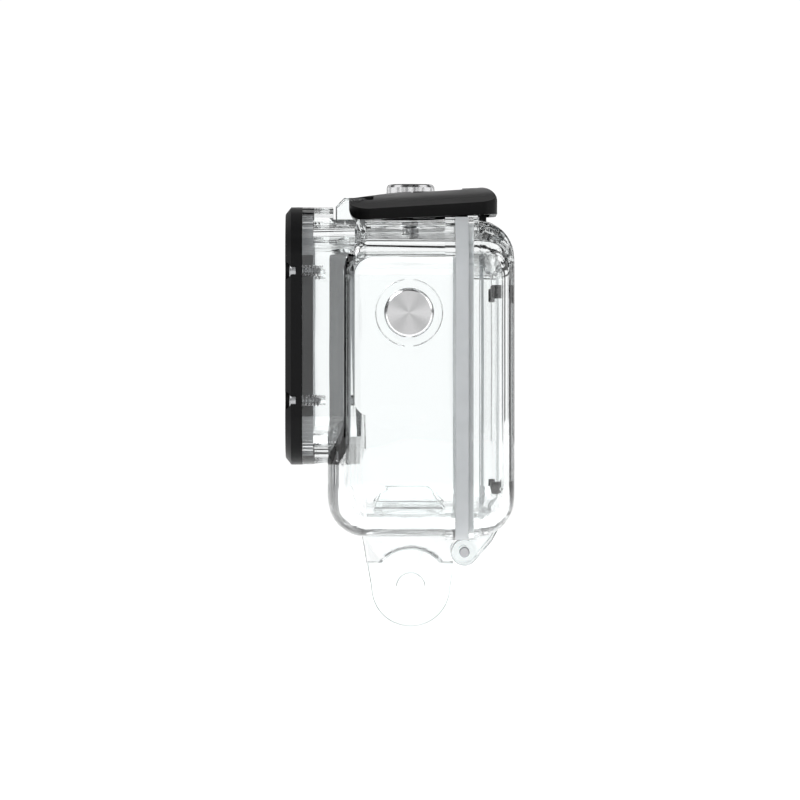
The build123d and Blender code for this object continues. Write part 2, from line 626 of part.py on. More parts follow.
def make_door_gasket():
    gasket = case_slab(-FLANGE_PROUD, GASKET_PLANE, DOOR_FRONT)
    gasket -= case_slab(GASKET_WIDTH - FLANGE_PROUD, GASKET_PLANE - 1, DOOR_FRONT + 1)
    inset = TONGUE_INSET - FLANGE_PROUD
    tongue = case_slab(inset, DOOR_FRONT - 0.5, DOOR_FRONT + TONGUE_DEPTH)
    tongue -= case_slab(inset + TONGUE_WIDTH, DOOR_FRONT - 2, DOOR_FRONT + 5)
    gasket += tongue
    reach = ARM_OUTER + KNUCKLE_GAP
    return gasket - rod_x(KNUCKLE_RADIUS + KNUCKLE_GAP, -reach, reach, HINGE_Y, HINGE_Z)


def pad_places():
    """The four pads that press the camera forward, as (x, z)."""
    heights = (SHELL_BOTTOM + PAD_BOTTOM_RISE, SHELL_TOP - PAD_TOP_DROP)
    return [(x, z) for x in (-PAD_X, PAD_X) for z in heights]


def make_door_pad(x, z):
    front = DOOR_INNER_BACK - PAD_THICKNESS
    pad = slab(PAD_SIZE_X, PAD_SIZE_Z, 0.9, front, DOOR_INNER_BACK, x, z)
    return fillet(front_loop(pad), 0.35)


# ---------------------------------------------------------------- latch
def lever_form(wall, front, drop):
    """The crowned lever drawn in by a wall, starting at front, with its underside lowered by drop."""
    top = SHELL_TOP - wall
    back = LATCH_BACK - wall
    rise = LATCH_BACK_TOP - LATCH_FRONT_TOP

    def crest(part, share):
        return (LATCH_FRONT + part * LATCH_LENGTH, top + LATCH_FRONT_TOP + share * rise)

    crest_line = Spline(crest(-0.02, 0), crest(0.165, 0.34), crest(0.4, 0.72), crest(0.63, 0.91), crest(0.87, 1))
    start, end = crest_line @ 0, crest_line @ 1
    tail = (back, top + LATCH_BACK_BAND + 0.2)
    bend = (end.X + 0.78 * (back - end.X), end.Y - 0.34 * (end.Y - tail[1]))
    back_bottom = (back, SHELL_TOP + LATCH_BACK_BOTTOM - drop)
    front_bottom = (start.X, SHELL_TOP + LATCH_FRONT_BOTTOM - drop)
    outline = [crest_line, ThreePointArc(end, bend, tail)]
    outline += [Polyline(tail, back_bottom, front_bottom, start)]
    half = LATCH_WIDTH / 2 - wall
    form = across(outline, LATCH_X - half, LATCH_X + half)

    slope = atan2(LATCH_BACK_BAND - LATCH_FRONT_BAND, LATCH_LENGTH)
    y0 = LATCH_FRONT - 5
    z0 = top + LATCH_FRONT_BAND - 5 * sin(slope)
    plane = Plane(origin=(LATCH_X, y0, z0), x_dir=(1, 0, 0), z_dir=(0, cos(slope), sin(slope)))
    arch = ThreePointArc((-half, 0), (0, -LATCH_CROWN), (half, 0))
    sides = Polyline((half, 0), (half, 12), (-half, 12), (-half, 0))
    form &= extrude(plane * make_face([arch, sides]), amount=LATCH_LENGTH + 12)

    plan = Pos(LATCH_X, (front + back) / 2, SHELL_TOP - 12) * Rectangle(2 * half, back - front)
    corners = plan.vertices().group_by(Axis.Y)
    plan = fillet(corners[0], LATCH_FRONT_CORNER - wall)
    plan = fillet(plan.vertices().group_by(Axis.Y)[-1], LATCH_BACK_CORNER - 0.8 * wall)
    return form & extrude(plan, amount=40)


def make_latch_lever():
    y, z = LATCH_PIVOT_Y, LATCH_PIVOT_Z
    lever = lever_form(0, LATCH_FRONT, 0)
    slot_back = y + EAR_TOP + EAR_GAP
    lever -= lever_form(LATCH_WALL, slot_back + LATCH_WALL, 9)
    for sign in (-1, 1):
        a, b = sorted((sign * TONGUE_HALF_WIDTH, sign * (EAR_OUTER + LATCH_SIDE_GAP)))
        lever -= block(LATCH_X + a, LATCH_X + b, y - 9, slot_back, z - 9, z + 9)
    x0, x1 = LATCH_X - LATCH_WIDTH, LATCH_X + LATCH_WIDTH
    under_nose = block(x0, x1, y - 9, y, z - 9, z)
    lever -= under_nose - rod_x(LATCH_NOSE, x0 - 1, x1 + 1, y, z)
    lever -= rod_x(LATCH_PIN_RADIUS + HINGE_RUNNING, LATCH_X - EAR_OUTER, LATCH_X + EAR_OUTER, y, z)

    half = CATCH_HALF_WIDTH - 0.3
    claw_top = SHELL_TOP + LATCH_BACK_TOP - 0.9 * LATCH_WALL
    claw = block(
        LATCH_X - half, LATCH_X + half, CLAW_FRONT, CLAW_FRONT + CLAW_THICKNESS, CATCH_Z - CLAW_REACH, claw_top
    )
    lever += claw

    half = LOCK_WIDTH / 2 + LOCK_CLEARANCE
    y0 = LOCK_Y - LOCK_LENGTH / 2 - LOCK_CLEARANCE
    y1 = LOCK_Y + LOCK_LENGTH / 2 + LOCK_TRAVEL + LOCK_CLEARANCE
    floor = LOCK_TOP_Z - LOCK_PAD - 0.05
    lever += block(LATCH_X - half - 1, LATCH_X + half + 1, y0 - 1, y1 + 1, floor - LOCK_FLOOR, floor)
    lever -= block(LATCH_X - half, LATCH_X + half, y0, y1, floor, floor + 9)
    stem = LOCK_STEM / 2 + LOCK_CLEARANCE
    slot = block(LATCH_X - stem, LATCH_X + stem, LOCK_Y - stem, LOCK_Y + stem + LOCK_TRAVEL, floor - 2, floor + 1)
    return lever - slot


def make_latch_lock():
    top = LOCK_TOP_Z
    half_x, half_y, stem = LOCK_WIDTH / 2, LOCK_LENGTH / 2, LOCK_STEM / 2
    floor = top - LOCK_PAD - 0.05
    pad = block(LATCH_X - half_x, LATCH_X + half_x, LOCK_Y - half_y, LOCK_Y + half_y, top - LOCK_PAD, top)
    pad = fillet(pad.edges().filter_by(Axis.Z), 1.2)
    for k in (-1, 0, 1):
        y = LOCK_Y + 1.4 * k
        pad -= block(LATCH_X - half_x + 1.2, LATCH_X + half_x - 1.2, y - 0.3, y + 0.3, top - 0.3, top + 1)
    lock = pad + block(LATCH_X - stem, LATCH_X + stem, LOCK_Y - stem, LOCK_Y + stem, LOCK_FOOT_Z, top - 0.5)
    foot = LOCK_FOOT_WIDTH / 2
    foot_top = LOCK_FOOT_Z + LOCK_FOOT_THICKNESS
    front = LOCK_Y - stem - LOCK_FOOT_REACH
    lock += block(LATCH_X - foot, LATCH_X + foot, front, LOCK_Y + stem, LOCK_FOOT_Z, foot_top)
    barb = floor - LOCK_FLOOR - 0.1
    outline = [(-stem - 0.45, barb), (-stem, barb - 1.1), (stem, barb - 1.1), (stem + 0.45, barb)]
    plane = Plane(origin=(LATCH_X, LOCK_Y + 0.8, 0), x_dir=(1, 0, 0), z_dir=(0, -1, 0))
    return lock + extrude(plane * make_face(Polyline(*outline, close=True)), amount=1.6)


# ---------------------------------------------------------------- export
TOP = (TOP_RECESS, TOP_CAP_TOP, TOP_WALL, TOP_SPRING_TURNS)
SIDE = (SIDE_RECESS, SIDE_CAP_TOP, SIDE_WALL + SIDE_INNER_BOSS, SIDE_SPRING_TURNS)

PARTS = {
    "front_shell": make_front_shell(),
    "lens_frame": make_lens_frame(),
    "window_glass": make_window_glass(),
    "window_seal": make_window_seal(),
    "hinge_pin": make_hinge_pin(),
    "latch_pin": make_latch_pin(),
    "rear_door": make_rear_door(),
    "door_gasket": make_door_gasket(),
    "latch_lever": make_latch_lever(),
    "latch_lock": make_latch_lock(),
}
for number, (x, z) in enumerate(screw_places(), 1):
    PARTS["frame_screw_" + str(number)] = make_frame_screw(x, z)
for number, (x, z) in enumerate(pad_places(), 1):
    PARTS["door_pad_" + str(number)] = make_door_pad(x, z)
for name, place, (recess, cap_top, reach, turns) in (("shutter", on_top, TOP), ("side", on_side, SIDE)):
    PARTS[name + "_cap"] = place(button_cap(recess, cap_top))
    PARTS[name + "_stem"] = place(button_stem(cap_top, reach))
    PARTS[name + "_clip"] = place(button_clip(reach))
    PARTS[name + "_tip"] = place(button_tip(reach))
    PARTS[name + "_o_ring"] = place(button_o_ring(recess))
    PARTS[name + "_spring"] = place(button_spring(recess, cap_top, turns))

os.makedirs("parts", exist_ok=True)
for name, part in PARTS.items():
    part.label = name
    export_step(part, "parts/" + name + ".step")
    box = part.bounding_box()
    low = (round(box.min.X, 2), round(box.min.Y, 2), round(box.min.Z, 2))
    high = (round(box.max.X, 2), round(box.max.Y, 2), round(box.max.Z, 2))
    print(name, len(part.solids()), low, high, round(part.volume, 1))
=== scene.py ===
# %% [markdown]
# A clear dive housing is a moulded polycarbonate box with a screwed window, a hinged back door, a
# latch and two press buttons. The CAD model holds every size and every joint, so this lesson only
# dresses it. Each step says what a piece or a finish is on the real object, how it could be made in
# Blender, and why one way was chosen.

from math import cos, pi, radians, sin

import bmesh
import bpy
from mathutils import Matrix, Vector


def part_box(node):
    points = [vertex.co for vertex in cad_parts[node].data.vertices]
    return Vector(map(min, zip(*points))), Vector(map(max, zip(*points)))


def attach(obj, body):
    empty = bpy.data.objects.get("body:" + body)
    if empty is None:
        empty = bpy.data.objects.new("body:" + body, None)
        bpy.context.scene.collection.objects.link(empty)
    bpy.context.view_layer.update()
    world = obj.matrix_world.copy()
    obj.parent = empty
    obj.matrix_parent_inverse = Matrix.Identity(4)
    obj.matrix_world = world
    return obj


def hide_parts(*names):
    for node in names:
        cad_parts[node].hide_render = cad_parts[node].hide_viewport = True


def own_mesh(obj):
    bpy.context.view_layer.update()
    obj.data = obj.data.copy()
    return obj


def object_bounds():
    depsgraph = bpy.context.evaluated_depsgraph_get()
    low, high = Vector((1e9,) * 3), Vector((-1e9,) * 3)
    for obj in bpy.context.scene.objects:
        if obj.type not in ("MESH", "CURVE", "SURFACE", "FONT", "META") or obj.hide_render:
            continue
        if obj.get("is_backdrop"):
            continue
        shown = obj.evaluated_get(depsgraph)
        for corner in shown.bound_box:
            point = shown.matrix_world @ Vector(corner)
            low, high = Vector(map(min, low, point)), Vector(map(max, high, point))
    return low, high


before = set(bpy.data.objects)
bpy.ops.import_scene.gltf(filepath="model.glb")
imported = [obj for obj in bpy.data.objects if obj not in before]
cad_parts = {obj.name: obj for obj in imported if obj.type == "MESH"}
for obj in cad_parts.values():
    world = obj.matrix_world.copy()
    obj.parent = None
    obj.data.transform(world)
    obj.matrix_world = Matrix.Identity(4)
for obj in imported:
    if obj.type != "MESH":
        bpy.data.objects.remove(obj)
cad_low, cad_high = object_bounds()
MM = 0.001
scene = bpy.context.scene
print("CAD box", [round(v / MM, 1) for v in (cad_high - cad_low)], "mm")


def middle(name):
    low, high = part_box(name)
    return (low + high) / 2


# %% [markdown]
# A real packshot of a small object is taken from far away with a long lens, so that it looks almost
# flat. A short lens close up would splay the near edges. The camera stands about one and a half metres
# off the side that has the round button, level with the middle of the case, and looks straight along X.

# %% Camera
CAMERA_DISTANCE = 1.54
SIGHT_Y, SIGHT_Z = -0.00203, 0.03543  # where the line of sight passes the case
SEEN_WIDTH = 0.1518  # of the picture, at the thumbscrew bore
SENSOR = 36  # millimetres
camera = bpy.data.objects.new("camera", bpy.data.cameras.new("camera"))
scene.collection.objects.link(camera)
bpy.context.scene.camera = camera
camera.data.sensor_width = SENSOR
camera.data.lens = SENSOR * CAMERA_DISTANCE / SEEN_WIDTH
camera.data.clip_start, camera.data.clip_end = 0.05, 20
camera.location = (CAMERA_DISTANCE, SIGHT_Y, SIGHT_Z)
camera.rotation_euler = (pi / 2, 0, pi / 2)
print("lens", round(camera.data.lens), "mm")

# %% [markdown]
# Colours are easiest to read as the hex values that a paint chart or a colour picker gives, but a
# shader works in linear light, so one function turns them. Materials are long lists of nodes, so a
# second small function adds a node, sets it and links it in one call.


# %% Colour and node helpers
def hex_colour(text):
    """A linear colour, with full alpha, from six hex digits."""
    parts = [int(text[i : i + 2], 16) / 255 for i in (0, 2, 4)]
    return [p / 12.92 if p <= 0.04045 else ((p + 0.055) / 1.055) ** 2.4 for p in parts] + [1.0]


def add(tree, kind, inputs=None, **settings):
    """Adds a node, sets its properties, and sets or links its inputs."""
    made = tree.nodes.new(kind)
    for name, value in settings.items():
        setattr(made, name, value)
    for name, value in (inputs or {}).items():
        if isinstance(value, bpy.types.NodeSocket):
            tree.links.new(value, made.inputs[name])
        else:
            made.inputs[name].default_value = value
    return made


def new_material(name, **sockets):
    """A material with one Principled shader whose plain values are set on its own sockets."""
    material = bpy.data.materials.new(name)
    material.use_nodes = True
    shader = material.node_tree.nodes["Principled BSDF"]
    for socket, value in sockets.items():
        shader.inputs[socket.replace("_", " ")].default_value = value
    return material, material.node_tree, shader


print("paint chart grey 808080 is", round(hex_colour("808080")[0], 3), "in linear light")

# %% [markdown]
# Clear polycarbonate is injection moulded and polished. It bends light hard, with an index of 1.585,
# so its edges gather the darkest and the brightest parts of the room, and its flat walls nearly
# vanish. The mould leaves very slow waves in the surface, about a tenth of a degree steep, which make
# the lines seen through a wall swim a little. A bump from a large soft noise gives that. The plastic
# drinks a little light on the way: a few millimetres of wall stay clear, and a ray that runs the whole
# length of a wall comes out grey, which is why clear mouldings have dark edges.


# %% Clear polycarbonate
def let_lamps_through(material):
    """Clear walls cast almost no shadow, so rays on their way to a light pass straight through."""
    tree = material.node_tree
    surface = tree.nodes["Material Output"].inputs["Surface"]
    to_light = add(tree, "ShaderNodeLightPath").outputs["Is Shadow Ray"]
    open_air = add(tree, "ShaderNodeBsdfTransparent").outputs["BSDF"]
    wall = surface.links[0].from_socket
    mixed = add(tree, "ShaderNodeMixShader", {0: to_light, 1: wall, 2: open_air})
    tree.links.new(mixed.outputs["Shader"], surface)


WAVE = 14 * MM  # length of one wave in the moulded surface
clear, tree, shader = new_material(
    "clear_moulded_polycarbonate",
    Base_Color=hex_colour("fbfdfd"),
    Roughness=0.012,
    IOR=1.585,
    Transmission_Weight=1.0,
)
place = add(tree, "ShaderNodeTexCoord")
waves = add(
    tree, "ShaderNodeTexNoise", {"Vector": place.outputs["Object"], "Scale": 1 / WAVE, "Detail": 1.0}
)
bump = add(
    tree, "ShaderNodeBump", {"Height": waves.outputs["Fac"], "Strength": 0.05, "Distance": 1.0 * MM}
)
tree.links.new(bump.outputs["Normal"], shader.inputs["Normal"])
drink = add(tree, "ShaderNodeVolumeAbsorption", {"Color": hex_colour("5c6262"), "Density": 6.0})
tree.links.new(drink.outputs["Volume"], tree.nodes["Material Output"].inputs["Volume"])
let_lamps_through(clear)
print("material", clear.name)

# %% [markdown]
# The window is a flat sheet of real glass, harder and flatter than the case, with an index of 1.52 and
# no waves, only the faint smears of a wiped pane. Its ground edge is what shows from the side, as a
# faint green-grey band.

# %% Window glass
SMEAR = 9 * MM  # size of a wiped smear on the polished sheet
window_glass, tree, shader = new_material(
    "flat_polished_window_glass",
    Base_Color=hex_colour("eef3f2"),
    Roughness=0.004,
    IOR=1.52,
    Transmission_Weight=1.0,
)
place = add(tree, "ShaderNodeTexCoord")
smear = add(tree, "ShaderNodeTexNoise", {"Vector": place.outputs["Object"], "Scale": 1 / SMEAR})
film = add(tree, "ShaderNodeMapRange", {"Value": smear.outputs["Fac"], "To Min": 0.002, "To Max": 0.02})
tree.links.new(film.outputs["Result"], shader.inputs["Roughness"])
let_lamps_through(window_glass)
print("material", window_glass.name)

# %% [markdown]
# The retaining frame and the latch are black glass-filled plastic from an etched mould. It has a
# satin sheen that is never a mirror, and a grain of about a quarter of a millimetre that breaks the
# highlight up. Corners that fingers touch are polished a little, so the roughness drifts. The etched
# grain scatters most of what a smooth skin would mirror, which a low specular level stands for.

# %% Black satin plastic
GRAIN = 0.25 * MM
DRIFT = 6 * MM  # size of the patches that are more or less polished


def black_plastic(name, colour, roughness):
    material, tree, shader = new_material(name, IOR=1.49, Specular_IOR_Level=0.13)
    place = add(tree, "ShaderNodeTexCoord").outputs["Object"]
    grain = add(tree, "ShaderNodeTexNoise", {"Vector": place, "Scale": 1 / GRAIN, "Detail": 3.0})
    drift = add(tree, "ShaderNodeTexNoise", {"Vector": place, "Scale": 1 / DRIFT, "Detail": 2.0})
    tone = add(tree, "ShaderNodeValToRGB", {"Fac": drift.outputs["Fac"]})
    tone.color_ramp.elements[0].color = hex_colour(colour[0])
    tone.color_ramp.elements[1].color = hex_colour(colour[1])
    polish = add(
        tree,
        "ShaderNodeMapRange",
        {"Value": drift.outputs["Fac"], "To Min": roughness - 0.05, "To Max": roughness + 0.07},
    )
    bump = add(
        tree, "ShaderNodeBump", {"Height": grain.outputs["Fac"], "Strength": 0.25, "Distance": 0.03 * MM}
    )
    tree.links.new(tone.outputs["Color"], shader.inputs["Base Color"])
    tree.links.new(polish.outputs["Result"], shader.inputs["Roughness"])
    tree.links.new(bump.outputs["Normal"], shader.inputs["Normal"])
    return material


frame_black = black_plastic("black_glass_filled_nylon", ("060607", "0b0b0c"), 0.34)
latch_black = black_plastic("black_satin_acetal", ("050505", "0a0a0b"), 0.3)
print("materials", frame_black.name, latch_black.name)

# %% [markdown]
# The gasket is translucent silicone, which is milky: light goes in, scatters, and comes out
# softened. Subsurface scattering over about two millimetres gives that, with a dull surface that
# holds a little dust.

# %% Silicone
silicone, tree, shader = new_material(
    "translucent_silicone",
    Subsurface_Weight=0.6,
    Subsurface_Scale=2 * MM,
    IOR=1.41,
)
shader.inputs["Subsurface Radius"].default_value = (1.0, 0.95, 0.9)
place = add(tree, "ShaderNodeTexCoord").outputs["Object"]
dust = add(tree, "ShaderNodeTexNoise", {"Vector": place, "Scale": 1 / (3 * MM), "Detail": 5.0})
tone = add(tree, "ShaderNodeValToRGB", {"Fac": dust.outputs["Fac"]})
tone.color_ramp.elements[0].color = hex_colour("a6a9ab")
tone.color_ramp.elements[1].color = hex_colour("b6b9bb")
matt = add(tree, "ShaderNodeMapRange", {"Value": dust.outputs["Fac"], "To Min": 0.42, "To Max": 0.58})
tree.links.new(tone.outputs["Color"], shader.inputs["Base Color"])
tree.links.new(matt.outputs["Result"], shader.inputs["Roughness"])
print("material", silicone.name)

# %% [markdown]
# The pads, tips and O-rings are black nitrile rubber, and the seal behind the window is grey. Moulded
# rubber is matt, with a fine skin like orange peel, and talc makes its tone a little uneven.


# %% Rubber
def rubber(name, colour, grain_size):
    material, tree, shader = new_material(name, IOR=1.5, Specular_IOR_Level=0.3)
    place = add(tree, "ShaderNodeTexCoord").outputs["Object"]
    grain = add(tree, "ShaderNodeTexNoise", {"Vector": place, "Scale": 1 / grain_size, "Detail": 4.0})
    tone = add(tree, "ShaderNodeValToRGB", {"Fac": grain.outputs["Fac"]})
    tone.color_ramp.elements[0].color = hex_colour(colour[0])
    tone.color_ramp.elements[1].color = hex_colour(colour[1])
    matt = add(tree, "ShaderNodeMapRange", {"Value": grain.outputs["Fac"], "To Min": 0.55, "To Max": 0.75})
    bump = add(
        tree, "ShaderNodeBump", {"Height": grain.outputs["Fac"], "Strength": 0.3, "Distance": 0.04 * MM}
    )
    tree.links.new(tone.outputs["Color"], shader.inputs["Base Color"])
    tree.links.new(matt.outputs["Result"], shader.inputs["Roughness"])
    tree.links.new(bump.outputs["Normal"], shader.inputs["Normal"])
    return material


black_rubber = rubber("black_nitrile_rubber", ("131314", "1d1d1e"), 0.3 * MM)
grey_rubber = rubber("grey_seal_rubber", ("949698", "a0a2a4"), 0.4 * MM)
print("materials", black_rubber.name, grey_rubber.name)

# %% [markdown]
# Screws, pins, clips and springs are stainless steel. Drawn wire and rod are bright, and the tumbled
# screws are a little duller. A noise of less than a millimetre makes tone and gloss uneven, as on metal
# that has been handled. A metal keeps Blender's default index, and the colour alone says which metal it
# is.


# %% Steel
def steel(name, colours, roughness, grain_size):
    material, tree, shader = new_material(name, Metallic=1.0)
    place = add(tree, "ShaderNodeTexCoord").outputs["Object"]
    grain = add(tree, "ShaderNodeTexNoise", {"Vector": place, "Scale": 1 / grain_size, "Detail": 3.0})
    tone = add(tree, "ShaderNodeValToRGB", {"Fac": grain.outputs["Fac"]})
    tone.color_ramp.elements[0].color = hex_colour(colours[0])
    tone.color_ramp.elements[1].color = hex_colour(colours[1])
    wear = add(
        tree,
        "ShaderNodeMapRange",
        {"Value": grain.outputs["Fac"], "To Min": roughness - 0.06, "To Max": roughness + 0.08},
    )
    tree.links.new(tone.outputs["Color"], shader.inputs["Base Color"])
    tree.links.new(wear.outputs["Result"], shader.inputs["Roughness"])
    return material


screw_steel = steel("tumbled_stainless_screw", ("8e8f91", "a9aaac"), 0.28, 0.5 * MM)
rod_steel = steel("drawn_stainless_rod", ("a3a4a6", "bbbcbe"), 0.2, 0.8 * MM)
print("materials", screw_steel.name, rod_steel.name)

# %% [markdown]
# The button caps are aluminium, faced on a lathe. The tool leaves rings too fine to see one by one,
# and they spread every highlight into bright fans that meet at the centre. Anisotropic gloss with a
# tangent that runs round the axis spreads them, and since an exported model can't carry such a tangent,
# the fans are also a painted highlight: the metal's colour rises and falls four times on the way round.
# The rings themselves are about 0.03 mm apart on the real cap and are drawn at 0.16 mm, as fine as they
# can show. A ring wave in Blender repeats every 2 pi / 20 divided by its scale, which sets the scale
# from the spacing. Outside the face, a diamond tool has cut a double chamfer, so the metal is polished
# from there on, and its colour is raised there as a painted highlight.

# %% Turned aluminium
RING_SPACING = 0.16 * MM
# The fans are a painted highlight: the cap's colour is made brighter and darker four times round the axis.
PAINTED_FANS = 4
PAINTED_FAN_LOW = 0.74  # tone between two fans, as a share of the tone on one
FACE_RADIUS = 4.05 * MM  # of the turned face, inside the polished chamfers
# On the polished chamfer the colour is raised 1.25 times, which is a painted highlight.
PAINTED_CHAMFER_HIGHLIGHT = 1.25
POLISHED_ROUGHNESS = 0.16


def turned_aluminium(name, centre, axis):
    material, tree, shader = new_material(name, Metallic=1.0, Anisotropic=0.88)
    place = add(tree, "ShaderNodeTexCoord").outputs["Object"]
    centred = add(tree, "ShaderNodeMapping", {"Vector": place, "Location": -Vector(centre)})
    rings = add(
        tree,
        "ShaderNodeTexWave",
        {
            "Vector": centred.outputs["Vector"],
            "Scale": 2 * pi / 20 / RING_SPACING,
            "Distortion": 0.6,
            "Detail": 2.0,
        },
        wave_type="RINGS",
        rings_direction=axis,
    )
    tone = add(tree, "ShaderNodeValToRGB", {"Fac": rings.outputs["Fac"]})
    tone.color_ramp.elements[0].color = hex_colour("c4c4c5")
    tone.color_ramp.elements[1].color = hex_colour("d6d6d7")
    apart = add(tree, "ShaderNodeSeparateXYZ", {"Vector": centred.outputs["Vector"]}).outputs
    # Painted highlight: the colour rises and falls with the angle round the axis.
    first, second = [apart[name] for name in "XYZ" if name != axis]
    angle = add(tree, "ShaderNodeMath", {0: second, 1: first}, operation="ARCTAN2").outputs[0]
    painted_fan_angle = add(tree, "ShaderNodeMath", {0: angle, 1: PAINTED_FANS}, operation="MULTIPLY").outputs[0]
    painted_fan = add(tree, "ShaderNodeMath", {0: painted_fan_angle}, operation="COSINE").outputs[0]
    share = add(tree, "ShaderNodeMapRange", {"Value": painted_fan, "From Min": -1.0, "To Min": PAINTED_FAN_LOW}).outputs[0]
    off_axis = add(tree, "ShaderNodeCombineXYZ", {"X": first, "Y": second}).outputs["Vector"]
    reach = add(tree, "ShaderNodeVectorMath", {0: off_axis}, operation="LENGTH").outputs["Value"]
    cut = add(tree, "ShaderNodeMath", {0: reach, 1: FACE_RADIUS}, operation="GREATER_THAN").outputs[0]
    # Outside the face the colour takes the chamfer's painted highlight instead of the painted fans.
    painted_highlight_strength = add(tree, "ShaderNodeMix", {0: cut, 2: share, 3: PAINTED_CHAMFER_HIGHLIGHT}).outputs[0]
    painted_fan_colour = add(
        tree, "ShaderNodeVectorMath", {0: tone.outputs["Color"], "Scale": painted_highlight_strength}, operation="SCALE"
    )
    spread = add(
        tree, "ShaderNodeMapRange", {"Value": rings.outputs["Fac"], "To Min": 0.2, "To Max": 0.28}
    )
    round_axis = add(tree, "ShaderNodeTangent", direction_type="RADIAL", axis=axis)
    gloss = add(tree, "ShaderNodeMix", {0: cut, 2: spread.outputs["Result"], 3: POLISHED_ROUGHNESS})
    tree.links.new(painted_fan_colour.outputs["Vector"], shader.inputs["Base Color"])
    tree.links.new(gloss.outputs[0], shader.inputs["Roughness"])
    tree.links.new(round_axis.outputs["Tangent"], shader.inputs["Tangent"])
    return material


side_aluminium = turned_aluminium("turned_aluminium_side", middle("side_cap"), "X")
top_aluminium = turned_aluminium("turned_aluminium_top", middle("shutter_cap"), "Z")
print("materials", side_aluminium.name, top_aluminium.name)

# %% [markdown]
# Every finished piece rides on the CAD body it belongs to and stands in for one or more CAD nodes.


# %% Put a finished piece in its place
def give(obj, material):
    obj.data.materials.clear()
    obj.data.materials.append(material)
    obj.data.polygons.foreach_set("material_index", [0] * len(obj.data.polygons))


def placed(piece, body, slot, *nodes):
    """Puts a finished piece in the scene, on its body, in place of the CAD nodes it stands for."""
    scene.collection.objects.link(piece)
    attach(piece, body)
    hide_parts(*nodes)
    print(piece.name, len(piece.data.polygons), "faces")


# %% [markdown]
# The CAD solids already have the true outline, walls, bosses and roundings, but they are shaded flat,
# and clear plastic shows every facet. Blender's own smooth shading would bend light at the rim of a flat
# wall, so the normals are set one by one: a face much larger than its smooth neighbours is a flat wall
# and keeps its own normal at every corner, a rounding takes the wall's normal where it meets one, and
# elsewhere it takes the mean of the faces round the corner.

# %% Normals for clear plastic
CREASE = cos(radians(28))  # faces that meet at less than this angle are one smooth surface
WALL_RATIO = 1.5  # how much larger a flat wall is than its smooth neighbours


def corner_normals(soup):
    """One normal for each face corner, with flat walls kept flat."""
    soup.faces.ensure_lookup_table()
    soup.normal_update()
    normals = [face.normal.copy() for face in soup.faces]
    areas = [face.calc_area() for face in soup.faces]
    walls = []
    for face in soup.faces:
        here = normals[face.index]
        beside = {g.index for edge in face.edges for g in edge.link_faces if g is not face}
        smooth = [areas[k] for k in beside if normals[k].dot(here) > CREASE]
        walls.append(areas[face.index] > WALL_RATIO * max(smooth, default=0))
    result = []
    for face in soup.faces:
        here = normals[face.index]
        for loop in face.loops:
            if walls[face.index]:
                result.append(here)
                continue
            around = [g.index for g in loop.vert.link_faces if normals[g.index].dot(here) > CREASE]
            nearby_walls = [k for k in around if walls[k]]
            if nearby_walls:
                result.append(normals[max(nearby_walls, key=areas.__getitem__)])
            else:
                total = sum((normals[k] * areas[k] for k in around), Vector())
                result.append(total.normalized() if total.length > 0 else here)
    return result


# %% [markdown]
# A CAD mesh is loose triangles, so a copy of it is merged and its coplanar triangles are joined. The
# latch and its slider also get a small bevel, because no moulded corner is perfectly sharp and the
# bevel is what catches the light.

# %% Finish a CAD solid
WELD = 0.0005 * MM  # corners closer than this are one
COPLANAR = radians(0.15)
SHARP = radians(35)  # edges that turn more than this get the bevel


def finished_copy(node, name, material, body, slot, bevel=0):
    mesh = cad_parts[node].data.copy()
    mesh.name = name
    soup = bmesh.new()
    soup.from_mesh(mesh)
    bmesh.ops.remove_doubles(soup, verts=soup.verts, dist=WELD)
    bmesh.ops.dissolve_limit(soup, angle_limit=COPLANAR, verts=soup.verts, edges=soup.edges)
    if bevel:
        rims = [e for e in soup.edges if len(e.link_faces) == 2 and e.calc_face_angle() > SHARP]
        bmesh.ops.bevel(
            soup, geom=rims, offset=bevel, segments=2, profile=0.5, affect="EDGES", clamp_overlap=True
        )
    normals = corner_normals(soup)
    soup.to_mesh(mesh)
    soup.free()
    mesh.shade_smooth()
    mesh.normals_split_custom_set(normals)
    piece = bpy.data.objects.new(name, mesh)
    give(piece, material)
    placed(piece, body, slot, node)


# %% [markdown]
# The mouldings, the seals and the rods keep their CAD shape. Bodies that move take their own pieces
# along: the door its gasket and pads, and each button its stem, clip and tip. An O-ring stays behind in
# the shell, because the stem slides through it.

# %% Mouldings, seals and rods
finished_copy("front_shell", "clear_front_shell", clear, "shell", "clear_polycarbonate")
finished_copy("rear_door", "clear_rear_door", clear, "door", "clear_polycarbonate")
finished_copy("window_glass", "lens_window", window_glass, "shell", "window_glass")
finished_copy("lens_frame", "retaining_frame", frame_black, "shell", "black_plastic")
finished_copy("latch_lever", "lever", latch_black, "latch", "black_plastic", bevel=0.25 * MM)
finished_copy("latch_lock", "lock_slider", latch_black, "lock", "black_plastic", bevel=0.15 * MM)
finished_copy("window_seal", "lens_window_seal", grey_rubber, "shell", "dark_seal")
finished_copy("door_gasket", "door_seal", silicone, "door", "silicone_gasket")
for pin in ("hinge_pin", "latch_pin"):
    finished_copy(pin, pin + "_rod", rod_steel, "shell", "steel")
for number in range(1, 5):
    name = f"door_pad_{number}"
    finished_copy(name, name + "_rubber", black_rubber, "door", "dark_rubber")
for button in ("shutter", "side"):
    body = button + "_button"
    finished_copy(button + "_stem", button + "_rod", rod_steel, body, "steel")
    finished_copy(button + "_clip", button + "_e_clip", rod_steel, body, "spring_steel")
    finished_copy(button + "_tip", button + "_push_pad", black_rubber, body, "dark_rubber")
    finished_copy(button + "_o_ring", button + "_stem_seal", black_rubber, "shell", "dark_rubber")


